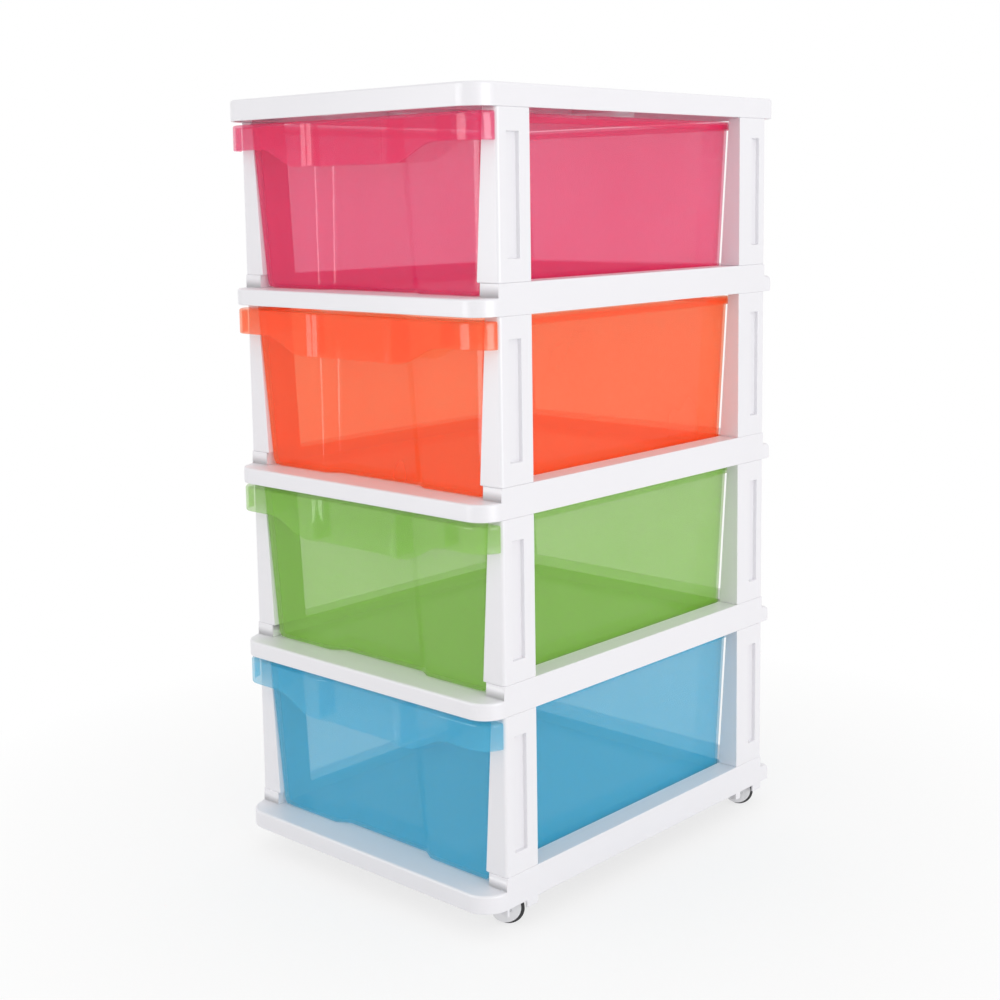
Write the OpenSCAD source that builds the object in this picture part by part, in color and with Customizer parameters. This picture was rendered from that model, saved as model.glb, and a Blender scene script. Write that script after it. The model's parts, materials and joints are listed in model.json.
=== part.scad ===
// Storage tower of four sliding drawers on swivel castors.
// The frame is a stack: a base, then four corner posts and a shelf or the cap for each tier.
// +Z is up, the drawers open towards -Y, and the origin is on the floor under the middle.

/* [Tower] */
// Width over the corner posts
tower_w = 300; // [260:1:360]
// Depth from the front of the front posts to the back of the rear posts
post_span = 361; // [300:1:440]
// Height of the posts of one tier
post_h = 131; // [105:1:170]
// Wall of the frame's mouldings
wall = 2.2; // [1.8:0.1:2.8]

/* [Posts] */
// Depth of a front post
front_post_d = 37; // [30:0.5:45]
// Depth of a rear post
rear_post_d = 41.5; // [34:0.5:50]
// Width of a post at its top
post_top_w = 15; // [13:0.5:18]
// Width of a post at its bottom
post_bottom_w = 23; // [19:0.5:28]
// How much narrower the rear posts are than the front ones
rear_post_less = 3; // [0:0.5:4]
// Radius of a post's outer corner
post_corner_r = 3; // [1:0.5:4]
// Depth of the slot in a post's side
slot_depth = 4; // [2:0.5:5]
// Distance from a post's outer end face to its slot
slot_inset = 10.5; // [8:0.5:12]
// Width of a front post's slot
front_slot_w = 14; // [10:0.5:16]
// Width of a rear post's slot
rear_slot_w = 11.5; // [9:0.5:16]
// Height left above and below a slot
slot_margin = 18; // [14:0.5:30]
// Height of the plugs that enter the post ends
plug_h = 8; // [5:0.5:10]
// Clearance round each plug
plug_gap = 0.3; // [0.1:0.05:0.5]

/* [Shelves] */
// Height of a shelf at its rails
shelf_h = 25; // [22:0.5:32]
// Height of the rails above the panel that a drawer slides on
rail_rise = 11; // [8:0.5:12]
// Width of the side rails
rail_w = 20; // [18:0.5:22]
// Depth of the rear rail that stops the drawer
rear_rail_d = 34.5; // [28:0.5:40]
// How far a shelf's ledge stands out in front of the posts
shelf_front = 20; // [12:0.5:22]
// How far a shelf's lip stands out behind the posts
shelf_rear = 10; // [4:0.5:12]
// Radius of a ledge's front corners
ledge_r = 20; // [10:0.5:22]
// Chamfer along the top of the rear lip
lip_chamfer = 3; // [1:0.5:4]
// Height of the ribs under the panels
rib_h = 8; // [4:0.5:9]
// Distance between neighbouring ribs
rib_pitch = 60; // [40:1:70]

/* [Cap and base] */
// Height of the cap
cap_h = 18; // [14:0.5:24]
// How far the cap and the base stand out in front of the posts
cap_front = 22; // [14:0.5:26]
// How far the cap stands out behind the posts
cap_rear = 14; // [6:0.5:18]
// Radius of the corners of the cap and the base
cap_r = 22; // [12:0.5:24]
// Height of the base at its rails
base_h = 26; // [24:0.5:32]
// How far the base stands out behind the posts
base_rear = 12; // [6:0.5:14]
// How far the feet hang below the base
foot_drop = 6; // [3:0.5:9]
// Length of a foot's rear leg
foot_leg_l = 13.5; // [10:0.5:16]
// Length of the gap between a foot's two legs, which bares the castor
foot_gap_l = 21; // [10:0.5:21]
// Width of a front leg's face
foot_face_w = 7; // [3:0.5:7]

/* [Drawers] */
// Wall of a drawer
drawer_wall = 2.2; // [1.6:0.1:2.8]
// Gap between a drawer's side and the posts
side_gap = 1; // [0.5:0.1:2]
// Gap under a drawer and behind it when it is shut
slide_gap = 0.3; // [0.2:0.05:0.6]
// Gap between a drawer's rim and the shelf or cap above
rim_gap = 3.3; // [2:0.1:6]
// Set-back of the foot of the front wall from the front of the posts
front_set = 4.7; // [2:0.1:8]
// Lean of the front and rear walls, in degrees
end_draft = 2.2; // [0:0.1:3.5]
// Lean of the side walls, in degrees
side_draft = 2.1; // [0:0.1:3.2]
// Radius of a drawer's bottom side edges
bottom_r = 7; // [4:0.5:12]
// How far the flange stands out in front of the posts
flange_front = 19; // [14:0.5:21]
// Gap between the flange ends and the front posts
flange_gap = 2; // [1:0.1:4]
// Radius of the flange's corners
flange_r = 20; // [10:0.5:22]
// Depth of the flange's skirt at its two ends
skirt_end_h = 21.4; // [14:0.1:26]
// Depth of the flange's skirt in its middle
skirt_mid_h = 36.7; // [28:0.1:44]
// Half the width of the skirt's deep middle
skirt_mid_x = 57; // [45:1:70]
// Half the width between the skirt's shallow ends
skirt_end_x = 103.5; // [90:0.5:115]
// How far the skirt's middle steps back
grip_set = 3; // [1:0.5:4]
// Half the width of the stepped-back stretch
grip_in_x = 39; // [30:1:42]
// Half the width where the step begins
grip_out_x = 50; // [46:1:56]
// Depth of the recess in the front wall
recess_d = 7; // [4:0.5:10]
// Half the width of the recess at its back
recess_in_x = 44; // [36:1:48]
// Half the width of the recess at its mouth
recess_out_x = 57; // [52:1:64]
// Thickness of the gussets under the flange
gusset_t = 1.5; // [1:0.1:2.5]
// Distance from the middle to the inner gussets
gusset_in_x = 50; // [44:1:56]
// Distance from the middle to the outer gussets
gusset_out_x = 104; // [94:1:116]
// Depth of the rim behind the rear wall
rear_rim_d = 7; // [3:0.5:8]
// Height of the rim's skirt along the sides and the rear
rim_h = 7; // [4:0.1:10]
// Thickness of the rim's skirt along the sides
rim_t = 1.5; // [1:0.1:2.5]

/* [Castors] */
// Radius of a wheel
wheel_r = 12.5; // [10:0.5:15]
// Gap between a wheel's top and the fork's deck
crown_gap = 2.5; // [2:0.1:4]
// Width of a wheel
wheel_w = 10; // [8:0.5:12]
// Distance from the swivel axis to the axle
trail = 8; // [5:0.5:9]
// Radius of the axle
axle_r = 2; // [1.5:0.1:2.5]
// How far the castors are turned from pointing straight back, in degrees
castor_turn = 45; // [0:1:90]
// Running clearance of the axle and the king pin, on the radius
run_gap = 0.05; // [0.03:0.01:0.08]
// Side of the square plate
plate_w = 30; // [27:0.5:32]
// Thickness of the plate
plate_t = 2; // [1.5:0.1:2.5]
// Distance from the swivel axis to each screw, across and along
screw_xy = 11; // [10:0.5:12]
// Radius of a screw's shank
screw_r = 1.4; // [1.2:0.1:1.6]
// Radius of a screw's head
screw_head_r = 2.6; // [2.3:0.1:2.8]
// Radius of the king pin
pin_r = 3; // [2.5:0.1:3.5]
// Gap between the fork's deck and the plate
deck_gap = 1; // [0.8:0.1:1.5]
// Thickness of the fork's deck
deck_t = 2; // [1.5:0.1:2.5]
// How much smaller the radius of the fork's round cheeks is than the wheel's
cheek_less = 0.5; // [0.2:0.1:1]
// How far the cheeks' centre lies in front of the axle
cheek_lead = 2.5; // [1.5:0.1:3]
// How far the cheeks' centre lies above the axle
cheek_rise = 1.5; // [1:0.1:2]
// Thickness of a cheek
cheek_t = 2; // [1.5:0.1:2.5]
// Distance from a post's outer end face to the swivel axis
pivot_inset = 15.5; // [14:0.5:20]
// Thickness of the pad above each plate
pad_t = 1.8; // [1.5:0.1:3]

/* [Hidden] */
$fn = 64;
eps = 0.01;
DRAWERS = ["blue_drawer", "green_drawer", "orange_drawer", "pink_drawer"];
TIERS = len(DRAWERS);
TIER_COLOURS = ["#6cb8cf", "#9cc06a", "#f08a4c", "#ec4d86"];
WHITE = "#e8e6ee";
BLACK = "#1c1c1e";
STEEL = "#b8babd";
// Corners as [name, side, end]: side is -1 for left, end is -1 for front
CORNERS = [["front_left", -1, -1], ["front_right", 1, -1], ["rear_left", -1, 1], ["rear_right", 1, 1]];
CASTOR_PARTS = ["castor_plate", "castor_screws", "king_pin", "fork", "axle", "wheel"];

half_w = tower_w / 2;
// The whole depth is centred on the origin
front_y = cap_front - (cap_front + post_span + cap_rear) / 2;
rear_y = front_y + post_span;
castor_h = 2 * wheel_r + crown_gap + deck_t + deck_gap + plate_t;
base_z = castor_h + pad_t + wall + rail_rise - base_h;
pitch = post_h + shelf_h;
function tier_z(tier) = base_z + base_h + tier * pitch;

post_slope = (post_bottom_w - post_top_w) / post_h;
post_lean = atan(post_slope);

drawer_h = post_h + rail_rise - rim_gap - slide_gap;
drawer_foot_x = half_w - post_bottom_w - side_gap - post_slope * (rail_rise - slide_gap);
// The rim keeps the side gap to the posts at its skirt's lower edge
drawer_top_x = drawer_foot_x + post_slope * (drawer_h - rim_h);
side_slope = tan(side_draft);
drawer_front = front_y + front_set;
// The leaning rear wall clears the top of the stop rail by the slide gap
drawer_rear = rear_y - rear_rail_d - slide_gap - (rail_rise - slide_gap) * tan(end_draft);
// How far the front and rear walls lean out over their height
end_lean = drawer_h * tan(end_draft);

axle_z = wheel_r;
deck_z = castor_h - plate_t - deck_gap - deck_t;
// Gap on each side of a wheel, and gap round it under the hood
wheel_side_gap = 0.5;
wheel_well_gap = 0.8;
fork_w = wheel_w + 2 * (wheel_side_gap + cheek_t);
cheek_r = wheel_r - cheek_less;
cheek_y = trail - cheek_lead;
cheek_z = axle_z + cheek_rise;
// How far the deck's disc stands out beyond the cheeks
deck_lip = 2;
// Gap between a castor that turns and the base's side skirts
sweep_gap = 1;
pivot_x = half_w - wall - trail - wheel_r - sweep_gap;
// How far the king pin's head and collar stand out, the head's thickness and the gap round it
pin_lip = 1.5;
pin_head_t = 1.2;
pin_head_gap = 0.2;
pin_head_r = pin_r + pin_lip;
// How far the pad stands out round the plate
pad_lip = 2;
// Plastic left above a screw's tip
tip_cover = 0.5;
screw_tip_z = castor_h + pad_t + wall - tip_cover;
head_t = screw_head_r - screw_r;
// Depth of the ring-shaped hollow in a wheel's face, its share of the radius, and the hub's wall
hollow_t = 1.5;
hollow_share = 0.75;
hub_t = 2;

function name(part, corner) = str(part, "_", corner[0]);
function post_name(corner, tier) = str(corner[0], "_post_", tier + 1);
function shelf_name(tier) = str("shelf_", tier + 1);

// Points of an arc about c
function arc(c, r, a0, a1, steps = 8) =
    [for (i = [0 : steps]) c + r * [cos(a0 + (a1 - a0) * i / steps), sin(a0 + (a1 - a0) * i / steps)]];

// Depth of a post and its start along Y
function post_d(end) = end < 0 ? front_post_d : rear_post_d;
function post_y(end) = end < 0 ? front_y : rear_y - rear_post_d;
function post_top(end) = post_top_w - (end < 0 ? 0 : rear_post_less);
function post_bottom(end) = post_bottom_w - (end < 0 ? 0 : rear_post_less);
function pivot_y(end) = end < 0 ? front_y + pivot_inset : rear_y - pivot_inset;

// Prism along Y of an outline drawn in X and Z
module along_y(y0, y1) {
    translate([0, y1, 0]) rotate([90, 0, 0]) linear_extrude(y1 - y0) children();
}

// Prism along X of an outline drawn in Y and Z
module along_x(x0, x1) {
    translate([x0, 0, 0]) rotate([90, 0, 90]) linear_extrude(x1 - x0) children();
}

// Plan of a plate from y0 to y1 with round corners at the front and, with rear_r, at the rear
module plate_plan(half, y0, y1, r, rear_r = 0) {
    intersection() {
        translate([-half, y0]) square([2 * half, y1 - y0]);
        union() {
            translate([-half, y0 + r]) square([2 * half, y1 - y0 - r - rear_r]);
            translate([r - half, y0]) square([2 * (half - r), y1 - y0]);
            for (side = [-1, 1]) translate([side * (half - r), y0 + r]) circle(r);
            if (rear_r > 0) {
                translate([rear_r - half, y1 - 2 * rear_r]) square([2 * (half - rear_r), 2 * rear_r]);
                for (side = [-1, 1]) translate([side * (half - rear_r), y1 - rear_r]) circle(rear_r);
            }
        }
    }
}

// Slab of a moulding, chamfered along its rear top edge
module slab(y0, y1, r, h, chamfer) {
    intersection() {
        linear_extrude(h) plate_plan(half_w, y0, y1, r);
        along_x(-half_w, half_w)
            polygon([[y0, 0], [y1, 0], [y1, h - chamfer], [y1 - chamfer, h], [y0, h]]);
    }
}

// Ribs under a panel whose underside is at z
module ribs(z) {
    cross_pitch = 1.5 * rib_pitch;
    for (i = [-1 : 1]) {
        translate([i * rib_pitch - wall / 2, front_y, z - rib_h]) cube([wall, post_span, rib_h + eps]);
        translate([wall - half_w, i * cross_pitch - wall / 2, z - rib_h])
            cube([tower_w - 2 * wall, wall, rib_h + eps]);
    }
}

// Hollow plug for a post end, from x0 to x1 off the middle, on the right-hand side
module plug(end, x0, x1) {
    y0 = post_y(end) + wall + plug_gap;
    d = post_d(end) - 2 * (wall + plug_gap);
    difference() {
        translate([x0, y0, -eps]) cube([x1 - x0, d, plug_h + eps]);
        translate([x0 + wall, y0 + wall, wall]) cube([x1 - x0 - 2 * wall, d - 2 * wall, plug_h]);
    }
}

// Plugs standing in the bottoms of the posts above z
module plugs_up(z) {
    for (corner = CORNERS) {
        plug_end_w = post_bottom(corner[2]) - post_slope * plug_h;
        mirror([corner[1] < 0 ? 1 : 0, 0, 0])
            translate([0, 0, z])
                plug(corner[2], half_w - plug_end_w + wall + plug_gap, half_w - wall - plug_gap);
    }
}

// Seats and plugs on the tops of the posts below z
module plugs_down(z) {
    for (corner = CORNERS) {
        end = corner[2];
        mirror([corner[1] < 0 ? 1 : 0, 0, 0]) {
            translate([half_w - post_top(end), post_y(end), z]) cube([post_top(end), post_d(end), wall]);
            translate([0, 0, z]) mirror([0, 0, 1])
                plug(end, half_w - post_top(end) + wall + plug_gap, half_w - wall - plug_gap);
        }
    }
}

// Shelf or base without its plugs: a panel between raised rails, hollow below
module tray(y0, y1, r, h) {
    panel_z = h - rail_rise;
    rail_x = half_w - rail_w;
    difference() {
        union() {
            slab(y0, y1, r, panel_z, lip_chamfer);
            for (side = [0, 1])
                mirror([side, 0, 0]) translate([rail_x, front_y, 0]) cube([rail_w, post_span, h]);
            translate([-half_w, rear_y - rear_rail_d, 0]) cube([tower_w, rear_rail_d, h]);
        }
        translate([0, 0, -eps]) linear_extrude(panel_z - wall + eps)
            plate_plan(half_w - wall, y0 + wall, y1 - wall, r - wall);
        for (side = [0, 1])
            mirror([side, 0, 0])
                translate([rail_x + wall, front_y + wall, -eps])
                    cube([rail_w - 2 * wall, post_span - 2 * wall, h - wall + eps]);
        translate([wall - half_w, rear_y - rear_rail_d + wall, -eps])
            cube([tower_w - 2 * wall, rear_rail_d - 2 * wall, h - wall + eps]);
    }
    ribs(panel_z - wall);
}

module top_cap() {
    y0 = front_y - cap_front;
    y1 = rear_y + cap_rear;
    color(WHITE) translate([0, 0, tier_z(TIERS - 1) + post_h]) {
        difference() {
            linear_extrude(cap_h) plate_plan(half_w, y0, y1, cap_r, cap_rear / 2);
            translate([0, 0, -eps]) linear_extrude(cap_h - wall + eps)
                plate_plan(half_w - wall, y0 + wall, y1 - wall, cap_r - wall, cap_rear / 2 - wall);
        }
        ribs(cap_h - wall);
        plugs_down(0);
    }
}

module shelf(tier) {
    color(WHITE) translate([0, 0, tier_z(tier) + post_h]) {
        tray(front_y - shelf_front, rear_y + shelf_rear, ledge_r, shelf_h);
        plugs_up(shelf_h);
        plugs_down(0);
    }
}

module base() {
    pad_w = plate_w + 2 * pad_lip;
    color(WHITE) difference() {
        translate([0, 0, base_z]) {
            tray(front_y - cap_front, rear_y + base_rear, cap_r, base_h);
            plugs_up(base_h);
            for (corner = CORNERS) {
                end = corner[2];
                mirror([corner[1] < 0 ? 1 : 0, 0, 0]) translate([half_w, post_y(end), -foot_drop])
                    foot(post_d(end));
                translate([corner[1] * pivot_x - pad_w / 2, pivot_y(end) - pad_w / 2, castor_h - base_z])
                    cube([pad_w, pad_w, pad_t + wall]);
            }
        }
        for (corner = CORNERS) at_castor(corner) at_screws() cylinder(h = screw_tip_z, r = screw_r);
    }
}

// Two legs along the base's side, of length d with the gap between them
module foot(d) {
    h = foot_drop + wall;
    translate([-wall, 0, 0]) cube([wall, d - foot_leg_l - foot_gap_l, h]);
    translate([-foot_face_w, 0, 0]) cube([foot_face_w, wall, h]);
    translate([-wall, d - foot_leg_l, 0]) cube([wall, foot_leg_l, h]);
}

// Tapering tube with a closed slot in its outer side
module post(corner, tier) {
    end = corner[2];
    d = post_d(end);
    slot_w = end < 0 ? front_slot_w : rear_slot_w;
    slot_y = end < 0 ? slot_inset : d - slot_inset - slot_w;
    color(WHITE) translate([0, post_y(end), tier_z(tier)]) mirror([corner[1] < 0 ? 1 : 0, 0, 0])
        difference() {
            intersection() {
                post_prism(end, 0, 0, d);
                translate([half_w, end < 0 ? 0 : d, 0]) mirror([0, end < 0 ? 0 : 1, 0])
                    linear_extrude(post_h) round_corner_plan(post_bottom_w, d);
            }
            difference() {
                post_prism(end, wall, wall, d - wall);
                translate([half_w - slot_depth - wall, slot_y - wall, slot_margin - wall])
                    cube([slot_depth + wall, slot_w + 2 * wall, post_h - 2 * slot_margin + 2 * wall]);
            }
            translate([half_w - slot_depth, slot_y, slot_margin])
                cube([slot_depth + 1, slot_w, post_h - 2 * slot_margin]);
        }
}

// Post outline in X and Z, inset on both sides, from y0 to y1; an inset prism runs past both ends
module post_prism(end, inset, y0, y1) {
    over = inset > 0 ? 1 : 0;
    inner = inset / cos(post_lean);
    along_y(y0, y1) polygon([
        [half_w - post_bottom(end) - over * post_slope + inner, -over],
        [half_w - inset, -over],
        [half_w - inset, post_h + over],
        [half_w - post_top(end) + over * post_slope + inner, post_h + over]
    ]);
}

// Plan of w by d to the left of the origin, round at the corner there
module round_corner_plan(w, d) {
    polygon(concat(
        [[-w, 0]],
        arc([-post_corner_r, post_corner_r], post_corner_r, -90, 0),
        [[0, d], [-w, d]]
    ));
}

// Drawer body as a solid, shrunk by inset on every side but the top
module drawer_block(inset) {
    over = inset > 0 ? 1 : 0;
    top_z = drawer_h + over;
    r = bottom_r - inset;
    side = inset / cos(side_draft);
    c = [drawer_foot_x + side_slope * bottom_r - bottom_r / cos(side_draft), bottom_r];
    half_outline = concat(arc(c, r, -90, -side_draft), [[drawer_foot_x + side_slope * top_z - side, top_z]]);
    intersection() {
        along_y(front_y - cap_front, rear_y + cap_rear) for (m = [0, 1]) mirror([m, 0])
            polygon(concat([[-eps, top_z], [-eps, inset]], half_outline));
        along_x(-half_w, half_w) polygon([
            [drawer_front + inset / cos(end_draft), 0],
            [drawer_rear - inset / cos(end_draft), 0],
            [drawer_rear - inset / cos(end_draft) + top_z * tan(end_draft), top_z],
            [drawer_front + inset / cos(end_draft) - top_z * tan(end_draft), top_z]
        ]);
    }
}

// Trapezium of the front recess, in the plane square to the leaning front wall
module recess_prism(thickness) {
    run = (recess_out_x - recess_in_x) / recess_d;
    shift = thickness * sqrt(1 + run * run);
    out_x = recess_out_x + shift;
    in_x = out_x - run * (recess_d + thickness);
    translate([0, drawer_front, 0]) rotate([end_draft, 0, 0])
        translate([0, 0, -bottom_r]) linear_extrude(drawer_h + 2 * bottom_r) polygon([
            [-out_x - run * bottom_r, -bottom_r], [out_x + run * bottom_r, -bottom_r],
            [in_x, recess_d + thickness], [-in_x, recess_d + thickness]
        ]);
}

// Plan of the flange, shrunk by inset, with its middle stepped back by set
module flange_plan(inset, set) {
    y0 = front_y - flange_front + inset;
    difference() {
        plate_plan(half_w - inset, y0, front_y - flange_gap + (inset > 0 ? 1 : 0), flange_r - inset);
        polygon([
            [-grip_out_x, y0 - 1], [-grip_out_x, y0], [-grip_in_x, y0 + set],
            [grip_in_x, y0 + set], [grip_out_x, y0], [grip_out_x, y0 - 1]
        ]);
    }
}

// Region above the wavy lower edge of the skirt
module skirt_region() {
    steps = 12;
    wave = [for (i = [0 : steps]) let (t = i / steps) [
        skirt_mid_x + t * (skirt_end_x - skirt_mid_x),
        drawer_h - (skirt_mid_h + skirt_end_h) / 2 - cos(180 * t) * (skirt_mid_h - skirt_end_h) / 2
    ]];
    along_y(front_y - cap_front, drawer_front + recess_d) for (m = [0, 1]) mirror([m, 0])
        polygon(concat([[-eps, drawer_h], [-eps, drawer_h - skirt_mid_h]], wave, [
            [half_w, drawer_h - skirt_end_h], [half_w, drawer_h]
        ]));
}

// Flange, its skirt and the gussets behind the skirt
module drawer_front_flange() {
    front_end = front_y - flange_front;
    translate([0, 0, drawer_h - drawer_wall]) linear_extrude(drawer_wall) {
        flange_plan(0, grip_set);
        translate([-drawer_top_x, front_y - flange_gap - drawer_wall])
            square([2 * drawer_top_x, drawer_front + recess_d - front_y + flange_gap + drawer_wall]);
    }
    intersection() {
        skirt_region();
        union() {
            linear_extrude(drawer_h) difference() {
                flange_plan(0, grip_set);
                flange_plan(drawer_wall, grip_set);
            }
            for (x = [-gusset_out_x, -gusset_in_x, gusset_in_x, gusset_out_x])
                translate([x - gusset_t / 2, front_end + drawer_wall, 0])
                    cube([gusset_t, drawer_front + recess_d - front_end - drawer_wall, drawer_h]);
        }
    }
}

// Rim along the sides and the rear, with a skirt below its edge
module drawer_rim() {
    y0 = drawer_front - end_lean;
    y1 = drawer_rear + end_lean + rear_rim_d;
    translate([-drawer_top_x, y0, drawer_h - drawer_wall]) cube([2 * drawer_top_x, y1 - y0, drawer_wall]);
    translate([0, 0, drawer_h - rim_h]) {
        for (side = [0, 1]) mirror([side, 0, 0])
            translate([drawer_top_x - rim_t, y0, 0]) cube([rim_t, y1 - y0, rim_h]);
        translate([-drawer_top_x, y1 - drawer_wall, 0]) cube([2 * drawer_top_x, drawer_wall, rim_h]);
    }
}

// Front plate that fills the space between the front posts
module drawer_front_plate() {
    intersection() {
        along_x(-half_w, half_w) polygon([
            [drawer_front, 0], [drawer_front + drawer_wall / cos(end_draft), 0],
            [drawer_front + drawer_wall / cos(end_draft) - end_lean, drawer_h],
            [drawer_front - end_lean, drawer_h]
        ]);
        along_y(front_y - cap_front, 0) for (m = [0, 1]) mirror([m, 0]) {
            c = [drawer_foot_x + post_slope * bottom_r - bottom_r / cos(post_lean), bottom_r];
            polygon(concat([[-eps, drawer_h], [-eps, 0]], arc(c, bottom_r, -90, -post_lean), [
                [drawer_top_x, drawer_h - rim_h], [drawer_top_x, drawer_h]
            ]));
        }
    }
}

module drawer(tier) {
    color(TIER_COLOURS[tier], 0.8) translate([0, 0, tier_z(tier) - rail_rise + slide_gap]) difference() {
        union() {
            difference() {
                union() {
                    drawer_block(0);
                    drawer_front_plate();
                }
                recess_prism(0);
            }
            drawer_front_flange();
            drawer_rim();
        }
        difference() {
            drawer_block(drawer_wall);
            recess_prism(drawer_wall);
        }
    }
}

// Places a castor's pieces on its swivel axis
module at_castor(corner) {
    translate([corner[1] * pivot_x, pivot_y(corner[2]), 0]) children();
}

// Places what swivels, turned about its swivel axis
module at_swivel(corner) {
    at_castor(corner) rotate([0, 0, -castor_turn]) children();
}

// Repeats a piece at the four screws of a plate
module at_screws() {
    for (sx = [-1, 1]) for (sy = [-1, 1]) translate([sx * screw_xy, sy * screw_xy, 0]) children();
}

// Countersunk screw, from its head's face up to its tip
module screw() {
    translate([0, 0, castor_h - plate_t]) {
        cylinder(h = head_t, r1 = screw_head_r, r2 = screw_r);
        cylinder(h = screw_tip_z - castor_h + plate_t, r = screw_r);
    }
}

module castor_plate(corner) {
    color(STEEL) at_castor(corner) difference() {
        translate([-plate_w / 2, -plate_w / 2, castor_h - plate_t]) cube([plate_w, plate_w, plate_t]);
        cylinder(h = castor_h + 1, r = pin_r);
        at_screws() screw();
    }
}

module castor_screws(corner) {
    color(STEEL) at_castor(corner) at_screws() screw();
}

// Pin riveted in the plate, with a collar above the fork's deck and a head below it
module king_pin(corner) {
    head_z = deck_z - run_gap - pin_head_t;
    collar_z = deck_z + deck_t + run_gap;
    color(STEEL) at_castor(corner) {
        translate([0, 0, head_z]) cylinder(h = castor_h - head_z, r = pin_r);
        translate([0, 0, head_z]) cylinder(h = pin_head_t, r = pin_head_r);
        translate([0, 0, collar_z]) cylinder(h = castor_h - plate_t - collar_z, r = pin_head_r);
    }
}

// Hooded fork: round cheeks joined over the front and the top of the wheel
module fork(corner) {
    well_r = wheel_r + wheel_well_gap;
    neck_y = fork_w / 2;
    color(WHITE) at_swivel(corner) difference() {
        union() {
            along_x(-fork_w / 2, fork_w / 2) {
                translate([cheek_y, cheek_z]) circle(cheek_r);
                translate([-neck_y, cheek_z]) square([2 * neck_y, deck_z + deck_t - cheek_z]);
            }
            translate([0, 0, deck_z]) cylinder(h = deck_t, r = fork_w / 2 + deck_lip);
        }
        along_x(cheek_t - fork_w / 2, fork_w / 2 - cheek_t) translate([trail, axle_z]) circle(well_r);
        translate([0, 0, axle_z]) cylinder(h = deck_z - axle_z, r = pin_head_r + pin_head_gap);
        cylinder(h = castor_h, r = pin_r + run_gap);
        at_axle(fork_w) circle(axle_r);
    }
}

// Prism of length w about the axle
module at_axle(w) {
    along_x(-w / 2, w / 2) translate([trail, axle_z]) children();
}

module axle(corner) {
    color(STEEL) at_swivel(corner) at_axle(fork_w) circle(axle_r);
}

// Solid wheel with a ring-shaped hollow in each face
module wheel(corner) {
    color(BLACK) at_swivel(corner) difference() {
        at_axle(wheel_w) circle(wheel_r);
        at_axle(wheel_w + 1) circle(axle_r + run_gap);
        for (m = [0, 1]) mirror([m, 0, 0]) along_x(wheel_w / 2 - hollow_t, wheel_w / 2 + 1)
            translate([trail, axle_z]) difference() {
                circle(wheel_r * hollow_share);
                circle(axle_r + hub_t);
            }
    }
}

top_cap();
base();
for (tier = [0 : TIERS - 2]) shelf(tier);
for (tier = [0 : TIERS - 1]) {
    for (corner = CORNERS) post(corner, tier);
    drawer(tier);
}
for (corner = CORNERS) {
    castor_plate(corner);
    castor_screws(corner);
    king_pin(corner);
    fork(corner);
    axle(corner);
    wheel(corner);
}
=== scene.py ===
"""Looks of the drawer tower: rounded mouldings, tinted drawers, castors, studio and camera.

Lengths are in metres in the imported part's own frame: +Z up, drawers open towards -Y.
"""

import json
import logging
import math
from collections.abc import Callable
from dataclasses import dataclass
from enum import Enum
from typing import Any

import bmesh
import bpy
from mathutils import Matrix, Vector

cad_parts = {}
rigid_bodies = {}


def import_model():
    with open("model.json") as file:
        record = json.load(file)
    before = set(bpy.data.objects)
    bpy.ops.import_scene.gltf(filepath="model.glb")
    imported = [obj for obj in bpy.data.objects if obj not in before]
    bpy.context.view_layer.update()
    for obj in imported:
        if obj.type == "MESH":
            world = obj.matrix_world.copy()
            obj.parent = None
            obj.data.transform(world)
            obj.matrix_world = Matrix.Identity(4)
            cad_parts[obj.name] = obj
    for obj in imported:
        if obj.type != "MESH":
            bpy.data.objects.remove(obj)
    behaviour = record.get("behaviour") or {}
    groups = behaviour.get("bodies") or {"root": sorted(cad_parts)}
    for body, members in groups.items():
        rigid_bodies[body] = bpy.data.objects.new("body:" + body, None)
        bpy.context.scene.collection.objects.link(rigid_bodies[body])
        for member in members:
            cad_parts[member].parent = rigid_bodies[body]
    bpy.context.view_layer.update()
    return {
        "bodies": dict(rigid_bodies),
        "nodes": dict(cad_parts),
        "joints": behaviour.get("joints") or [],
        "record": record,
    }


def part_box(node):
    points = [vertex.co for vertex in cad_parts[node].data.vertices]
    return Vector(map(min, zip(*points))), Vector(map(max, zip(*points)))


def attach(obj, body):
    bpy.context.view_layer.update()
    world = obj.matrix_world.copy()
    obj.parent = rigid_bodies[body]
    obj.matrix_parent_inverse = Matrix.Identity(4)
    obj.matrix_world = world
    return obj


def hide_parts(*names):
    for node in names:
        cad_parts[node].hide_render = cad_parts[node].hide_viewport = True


LOG = logging.getLogger("drawer_tower")
MM = 0.001
Colour = tuple[float, float, float]
WHITE: Colour = (1.0, 1.0, 1.0)


class Corner(Enum):
    """Corners of the tower, as the nodes' names give them."""

    FRONT_LEFT = "front_left"
    FRONT_RIGHT = "front_right"
    REAR_LEFT = "rear_left"
    REAR_RIGHT = "rear_right"


def shaded(colour: Colour, share: float) -> Colour:
    """The colour with that share of its brightness."""
    return tuple(share * c for c in colour)


# ---------------------------------------------------------------- shader graphs


class Maths(Enum):
    """Operations of a Math node."""

    SUM = "ADD"
    DIFFERENCE = "SUBTRACT"
    PRODUCT = "MULTIPLY"
    POWER = "POWER"
    LOWER = "MINIMUM"
    HIGHER = "MAXIMUM"


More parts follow.
